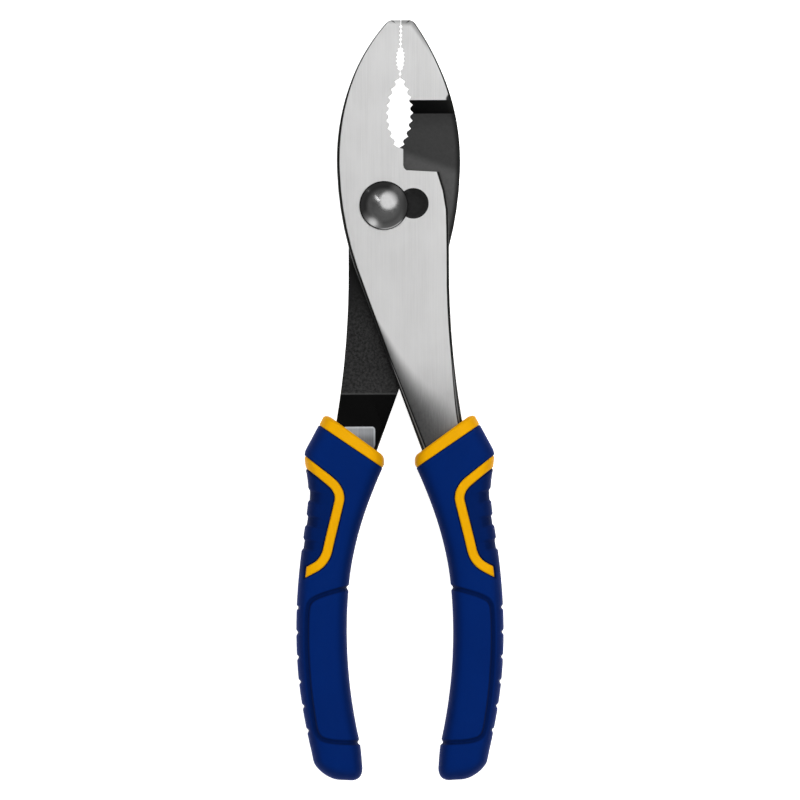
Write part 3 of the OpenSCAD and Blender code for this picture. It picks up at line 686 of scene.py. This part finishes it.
def black_oxide(g, p):
    """Dark forged steel: the lap face, the sides, and the outer faces where they aren't ground; painted
    shade on the step and behind the ramp, and a pale inner edge, part abrasion and part painted highlight.
    """
    on_lap = g.mul(g.ramp(p.level, 0.5, 0.2), g.ramp(p.flat, 0.9, 0.97))
    at_tip = g.mul(g.ramp(p.v, 24, 40), g.ramp(p.h, 0.0, 1.0))
    oxide = g.mix(on_lap, g.mix(at_tip, SIDE, SIDE_AT_TIP), lap_tone(g, p))
    dull = g.mix(g.ramp(p.grain, 0.3, 0.7), DULL_DARK, DULL_LIGHT)
    oxide = g.mix(p.face, oxide, g.mix(p.under, dull, DULL_UNDER))

    # Black oxide with painted shade on the sloped step at the jaw, rounded over at its outer end, and on the
    # shadowed side behind the ramp
    on_step = g.mul(g.ramp(p.flat, 0.86, 0.8), g.ramp(p.flat, 0.45, 0.52))
    on_step = g.mul(on_step, g.ramp(p.v, 23.9, 24.2), g.ramp(p.v, 28.3, 28.0))
    oxide = g.mix(on_step, oxide, g.mix(g.ramp(p.inside, 1.9, 0.6), STEP, STEP_END))
    behind = g.mul(g.ramp(p.v, RAMP_V - 0.1, RAMP_V - 0.4), g.ramp(p.h, 3.6, 3.2))
    oxide = g.mix(behind, oxide, BEHIND_RAMP_SHADE)

    # The inner edge is pale from abrasion beside the run-out, and the pale line is also a painted highlight
    worn_glint = g.mul(g.ramp(p.flat, 0.72, 0.82), g.ramp(p.flat, 0.95, 0.88))
    worn_glint = g.mul(worn_glint, g.ramp(p.v, -40, -46), g.ramp(p.h, 3.2, 3.6))
    return g.mix(g.mul(worn_glint, 0.7), oxide, WORN_EDGE_GLINT)


def forged_steel(name, patch_side):
    """Black forged steel, ground bright on its outer faces and on a patch of the tang at patch_side."""
    material, g, shader, coords = new_material(name)
    p = HalfPlaces(g, coords, patch_side)
    ground = g.mul(ground_share(g, p), g.sub(1.0, dark_corner(g, p)))
    bright = g.larger(ground, patch_share(g, p))
    g.put(shader.inputs["Base Color"], g.mix(bright, black_oxide(g, p), bright_steel(g, p)))
    shader.inputs["Metallic"].default_value = 1.0
    steel_rough = g.ramp(p.hair, 0.25, 0.75, 0.34, 0.44)
    oxide_rough = g.ramp(p.grain, 0.3, 0.7, 0.40, 0.55)
    g.put(shader.inputs["Roughness"], g.mix_value(bright, oxide_rough, steel_rough))
    pitted = g.mul(p.grain, g.mix_value(g.ramp(p.v, -24, -14), 1.0, 0.2))
    brushed = g.add(g.mul(p.hair, 0.4), g.mul(p.lines, 0.8))
    g.put(shader.inputs["Normal"], g.bump(g.mix_value(bright, pitted, brushed), 0.16, 0.06 * MM))
    return material


# Tones of the bolt's dome: its crown, painted lighter where the softbox shows, its slope and parts of its
# rim, painted as shade, and its painted highlights
CROWN_DARK, CROWN_LIGHT, SLOPE_SHADE = gray(0.41), gray(0.46), gray(0.09)
RIM_SHADE_UPPER_LEFT, RIM_SHADE_RIGHT, RIM_EDGE_SHADE = gray(0.025), gray(0.038), gray(0.01)
FILL_GLINT, ARC_GLINT = gray(0.28), gray(0.32)
GLINT_X, GLINT_Y, GLINT_R, ARC_GLINT_R = -2.95, -5.05, 3.1, 6.2


def polished_black(name, rough):
    """Dark polished steel with faint handling marks, its crown painted lighter and its slope and rim painted
    with shade, and painted highlights on its lower left and along its lower right rim.
    """
    material, g, shader, coords = new_material(name)
    place = coords.outputs["Object"]
    across_x, across_y, _ = g.split(place)
    x, y = g.mul(across_x, 1 / MM), g.mul(across_y, 1 / MM)
    cloud = g.noise(place, (260, 260, 260), 3)
    fine = g.noise(place, (900, 900, 900), 2)
    reach = g.length(x, y)
    tone = g.mix(g.ramp(cloud, 0.3, 0.7), CROWN_DARK, CROWN_LIGHT)
    # Painted reflection: the crown is lighter, where the softbox shows, and the slope darker
    tone = g.mix(g.ramp(reach, 2.4, 4.8), tone, SLOPE_SHADE)
    # Painted shade, as dark reflections, on the upper left and on the right of the rim
    ring = g.ramp(reach, 3.9, 5.2)
    upper_left = g.mul(g.sub(y, x), math.sqrt(0.5))
    tone = g.mix(g.mul(ring, g.ramp(upper_left, 0.8, 3.0)), tone, RIM_SHADE_UPPER_LEFT)
    tone = g.mix(g.mul(ring, g.ramp(x, 4.2, 5.8)), tone, RIM_SHADE_RIGHT)
    # Painted highlight of the fill lamp on the lower left
    from_glint = g.length(g.sub(x, GLINT_X), g.sub(y, GLINT_Y))
    tone = g.mix(g.ramp(from_glint, GLINT_R, 0.0), tone, FILL_GLINT)
    # Painted shade on the edge of the rim
    tone = g.mix(g.ramp(reach, 6.1, 6.35), tone, RIM_EDGE_SHADE)
    # Painted highlight along the lower right of the rim
    lower_right = g.sub(g.mul(x, 0.35), g.mul(y, 0.94))
    off_arc = g.size(g.sub(reach, ARC_GLINT_R))
    arc_glint_share = g.mul(g.ramp(lower_right, 5.0, 6.0), g.ramp(off_arc, 0.25, 0.08))
    g.put(shader.inputs["Base Color"], g.mix(arc_glint_share, tone, ARC_GLINT))
    shader.inputs["Metallic"].default_value = 1.0
    g.put(shader.inputs["Roughness"], g.ramp(fine, 0.3, 0.7, rough, rough + 0.04))
    g.put(shader.inputs["Normal"], g.bump(fine, 0.03, 0.03 * MM))
    return material


def turned_metal(name, dark, light, rough):
    """Turned or stamped metal with fine rings round the bolt's axis."""
    material, g, shader, coords = new_material(name)
    place = coords.outputs["Object"]
    x, y, z = g.split(place)
    round_axis = g.node("ShaderNodeCombineXYZ")
    g.put(round_axis.inputs[0], g.length(x, y))
    g.put(round_axis.inputs[2], z)
    rings = g.noise(round_axis.outputs[0], (7000, 1, 2500), 3, 0.6)
    cloud = g.noise(place, (420, 420, 420), 4)
    tone = g.add(g.mul(rings, 0.5), g.mul(cloud, 0.5))
    g.put(shader.inputs["Base Color"], g.mix(g.ramp(tone, 0.35, 0.65), gray(dark), gray(light, 0.01)))
    shader.inputs["Metallic"].default_value = 1.0
    g.put(shader.inputs["Roughness"], g.ramp(cloud, 0.3, 0.7, rough, rough + 0.12))
    g.put(shader.inputs["Normal"], g.bump(rings, 0.2, 0.05 * MM))
    return material


def moulded(name, colour, shade_colour, rough, grain_scale, grain_depth):
    """Moulded plastic or rubber: fine grain, uneven tone, and painted shade on its steep faces and in its
    depths.
    """
    material, g, shader, coords = new_material(name)
    place = coords.outputs["Object"]
    grain = g.noise(place, (grain_scale,) * 3, 3, 0.6)
    cloud = g.noise(place, (95, 60, 95), 3)
    # The depth attribute carries painted shade, which takes the tone towards the shade colour
    attribute = g.node("ShaderNodeAttribute", attribute_name="depth")
    low = g.ramp(attribute.outputs["Fac"], 0.05, 0.5)
    duller = tuple(c * 0.93 for c in colour[:3]) + (1,)
    tone = g.mix(g.ramp(cloud, 0.3, 0.75), colour, duller)
    # Painted shade where the faces slope between flat and upright
    steep = g.size(g.split(coords.outputs["Normal"])[2])
    side_shade = g.mul(g.ramp(steep, 0.96, 0.66), g.ramp(steep, 0.12, 0.42), 0.35)
    tone = g.mix(side_shade, tone, shade_colour)
    g.put(shader.inputs["Base Color"], g.mix(g.mul(low, 0.8), tone, shade_colour))
    g.put(shader.inputs["Roughness"], g.ramp(grain, 0.3, 0.7, rough - 0.05, rough + 0.08))
    shader.inputs["Specular IOR Level"].default_value = 0.03
    shader.inputs["Sheen Weight"].default_value = 0.05
    shader.inputs["Sheen Roughness"].default_value = 0.35
    g.put(shader.inputs["Normal"], g.bump(grain, 0.25, grain_depth))
    return material


# Each with its colour, the colour of its painted shade, its roughness and the scale and depth of its grain
YELLOW = moulded("yellow_plastic", (0.73, 0.348, 0.0, 1), (0.4, 0.16, 0.0, 1), 0.45, 1500, 0.05 * MM)
BLUE = moulded("blue_rubber", (0.0, 0.0145, 0.117, 1), (0.0, 0.0025, 0.018, 1), 0.7, 1900, 0.06 * MM)

for half, body, side in (("slotted", "slotted_handle", 1), ("pinned", "pinned_handle", -1)):
    make_core(half, body, side)
    make_cover(half, body, side)

node_materials = {
    "slotted_half": forged_steel("slotted_half_steel", -1),
    "pinned_half": forged_steel("pinned_half_steel", 1),
    "pivot_bolt": polished_black("bolt_steel", 0.18),
    "pivot_washer": turned_metal("washer_zinc", 0.42, 0.6, 0.3),
    "pivot_nut": turned_metal("nut_phosphate", 0.05, 0.11, 0.42),
}
for node, material in node_materials.items():
    mesh = frame["nodes"][node].data
    mesh.materials.clear()
    mesh.materials.append(material)


def soft_shading(angle):
    """Node group that shades a mesh smoothly across edges that bend less than angle."""
    group = bpy.data.node_groups.new("soft_shading", "GeometryNodeTree")
    for way in ("INPUT", "OUTPUT"):
        group.interface.new_socket("Geometry", in_out=way, socket_type="NodeSocketGeometry")
    g = Graph(group)
    entry, exit_ = g.node("NodeGroupInput"), g.node("NodeGroupOutput")
    bend = g.node("GeometryNodeInputMeshEdgeAngle")
    normal = g.node("GeometryNodeSetMeshNormal", mode="SHARPNESS")
    g.put(normal.inputs["Mesh"], entry.outputs[0])
    g.put(normal.inputs["Edge Sharpness"], g.math("GREATER_THAN", bend.outputs["Unsigned Angle"], angle))
    g.put(exit_.inputs[0], normal.outputs[0])
    return group


# The facets of the CAD meshes are joined and shaded as the curved faces they stand for
SOFT = soft_shading(math.radians(28))
WELD_REACH, RIM_W, RIM_ANGLE = 0.002 * MM, 0.32 * MM, math.radians(40)
for node in node_materials:
    obj = frame["nodes"][node]
    weld = obj.modifiers.new("weld", "WELD")
    weld.merge_threshold = WELD_REACH
    if node == "pivot_bolt":
        rim = obj.modifiers.new("rim", "BEVEL")
        rim.width = RIM_W
        rim.segments = 4
        rim.limit_method = "ANGLE"
        rim.angle_limit = RIM_ANGLE
    obj.modifiers.new("soft", "NODES").node_group = SOFT
    obj.modifiers.new("even", "WEIGHTED_NORMAL").keep_sharp = True


# Camera straight above, as far off as a long lens needs for the photograph's frame
PIXEL = 0.2673 * MM
IMAGE_PIXELS = 800
IMAGE_CENTRE = 0.20 * MM, -52.30 * MM
PHOTO_ROLL = math.radians(-0.18)
CAMERA_RISE = 8.0
camera_data = bpy.data.cameras.new("camera")
camera = bpy.data.objects.new("camera", camera_data)
bpy.context.scene.collection.objects.link(camera)
camera_data.sensor_width = 36
camera_data.lens = camera_data.sensor_width * CAMERA_RISE / (PIXEL * IMAGE_PIXELS)
camera_data.clip_end = 100
camera.location = (SLOT_CENTRE.x + IMAGE_CENTRE[0], SLOT_CENTRE.y + IMAGE_CENTRE[1],
                   cad_high.z + CAMERA_RISE)
camera.rotation_euler = (0, 0, PHOTO_ROLL)
bpy.context.scene.camera = camera

LIGHT_TARGET = Vector((0.004, -0.05, 0.01))


def add_light(name, shape, place, size, radiance, glossy=True):
    """Area light that faces the part, size across and along; metal shows it only if it is glossy."""
    data = bpy.data.lights.new(name, "AREA")
    data.shape = shape
    data.size, data.size_y = size
    area = size[0] * size[1] * (math.pi / 4 if shape == "ELLIPSE" else 1)
    data.energy = radiance * area * math.pi
    light = bpy.data.objects.new(name, data)
    bpy.context.scene.collection.objects.link(light)
    light.location = place
    towards = LIGHT_TARGET - Vector(place)
    light.rotation_euler = towards.to_track_quat("-Z", "Y").to_euler()
    light.visible_glossy = glossy


# Each glow lights the matte surfaces alone, from a little behind its lamp
SOFTBOX_AT, SOFTBOX_SIZE = Vector((0.335, 0.355, 1.19)), (1.2, 1.42)
FILL_AT, FILL_SIZE = Vector((-0.85, -1.22, 0.85)), (0.8, 0.8)
GLOW_BACK = 1.04
add_light("softbox", "ELLIPSE", SOFTBOX_AT, SOFTBOX_SIZE, 1.37)
add_light("softbox_glow", "ELLIPSE", SOFTBOX_AT * GLOW_BACK, SOFTBOX_SIZE, 1.93, glossy=False)
add_light("fill", "ELLIPSE", FILL_AT, FILL_SIZE, 1.25)
add_light("fill_glow", "ELLIPSE", FILL_AT * GLOW_BACK, FILL_SIZE, 2.1, glossy=False)
# Two small strips give the dome its streak and its spark
add_light("streak", "RECTANGLE", (-0.42, 0.46, 1.1), (0.05, 0.42), 6.5)
add_light("spark", "RECTANGLE", (-0.996, 0.975, 0.568), (0.04, 0.14), 24.0)


# World: white all round, dark grey overhead and darker still to the upper left
OVERHEAD, LEAN_X, LEAN_Y = 0.15, 0.055, 0.07
HORIZON_UP, OVERHEAD_UP = 0.4, 0.85
world = bpy.data.worlds.new("studio")
bpy.context.scene.world = world
world.use_nodes = True
sky = Graph(world.node_tree)
sky_place = sky.node("ShaderNodeTexCoord")
sky_x, sky_y, up = sky.split(sky_place.outputs["Generated"])
lean = sky.sub(sky.mul(sky_x, LEAN_X), sky.mul(sky_y, LEAN_Y))
background = world.node_tree.nodes["Background"]
background.inputs["Color"].default_value = (1, 1, 1, 1)
sky.put(background.inputs["Strength"], sky.ramp(up, HORIZON_UP, OVERHEAD_UP, 1.0, sky.add(lean, OVERHEAD)))


# Floor: white where the camera and the metal see it, with the soft shadow of the part
FLOOR_R, FLOOR_DROP, FLOOR_GLOW = 8.0, 0.2 * MM, 0.8
FLOOR_CORNERS = [(x * FLOOR_R, y * FLOOR_R, 0) for x, y in ((-1, -1), (1, -1), (1, 1), (-1, 1))]
floor_mesh = bpy.data.meshes.new("floor")
floor_mesh.from_pydata(FLOOR_CORNERS, [], [(0, 1, 2, 3)])
floor = bpy.data.objects.new("floor", floor_mesh)
bpy.context.scene.collection.objects.link(floor)
floor.location.z = cad_low.z - FLOOR_DROP
floor_material, fg, floor_shader, _ = new_material("pale_floor")
floor_shader.inputs["Base Color"].default_value = gray(0.9)
floor_shader.inputs["Roughness"].default_value = 0.9
floor_shader.inputs["Specular IOR Level"].default_value = 0.0
rays = fg.node("ShaderNodeLightPath")
seen = fg.larger(rays.outputs["Is Camera Ray"], rays.outputs["Is Glossy Ray"])
seen = fg.larger(seen, rays.outputs["Is Transmission Ray"])
floor_shader.inputs["Emission Color"].default_value = (1, 1, 1, 1)
fg.put(floor_shader.inputs["Emission Strength"], fg.mul(seen, FLOOR_GLOW))
floor_mesh.materials.append(floor_material)

bpy.context.scene.view_settings.view_transform = "Standard"
